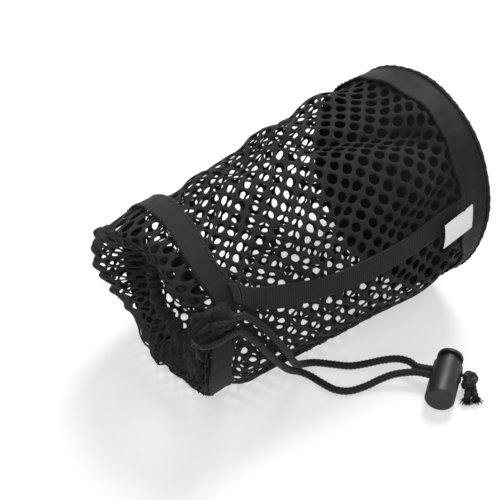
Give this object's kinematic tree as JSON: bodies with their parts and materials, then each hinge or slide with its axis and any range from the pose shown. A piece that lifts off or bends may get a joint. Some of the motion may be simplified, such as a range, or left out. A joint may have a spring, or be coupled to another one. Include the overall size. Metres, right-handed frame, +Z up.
{
  "type": "drawstring net bag",
  "caption": "Drawstring net bag lying on its side, with a taped neck, a gathered mouth, a solid round base, a side strap, a drawcord and a push-button cord lock.",
  "frame": {"origin": "middle of the flat underside of the net body, on the surface the bag lies on", "axes": "+X from the mouth towards the round base, +Z up, -Y is the side with the strap and the drawcord"},
  "size_m": [0.1762, 0.1581, 0.0976],
  "materials": {
    "net": "matte warp-knit net",
    "tape": "ribbed woven tape",
    "satin": "smooth woven fabric",
    "label": "satin",
    "cord": "braided",
    "lock": "fine matte",
    "spring": "drawn wire"
  },
  "bodies": {
    "bag": {"mesh_tube": "net", "neck_ruffle": "net", "hem_tunnel": "net", "collar_tape": "tape", "carry_strap": "tape", "base_band": "satin", "base_panel": "satin", "base_rim": "tape", "drawcord_loop": "cord", "drawcord_a": "cord", "drawcord_b": "cord", "drawcord_knot": "cord", "cord_tail_a": "cord", "cord_tail_b": "cord"},
    "lock": {"lock_barrel": "lock", "lock_spring": "spring"},
    "button": {"lock_plunger": "lock"},
    "label": {"care_label": "label"}
  },
  "joints": [
    {"name": "lock_slide", "type": "slide", "parent": "bag", "child": "lock", "axis": [-0.6088, 0.7934, 0], "range_m": [0, 0.006]},
    {"name": "button_press", "type": "slide", "parent": "lock", "child": "button", "axis": [-0.7934, -0.6088, 0], "range_m": [0, 0.0025], "stiffness_N_per_m": 500, "springref_m": -0.003, "deforming": ["lock_spring"]},
    {"name": "label_flip", "type": "hinge", "parent": "bag", "child": "label", "pos_m": [0.0583, -0.05278, 0.05823], "axis": [0.1768, 0.2273, 0.9576], "range_deg": [0, 110]}
  ]
}
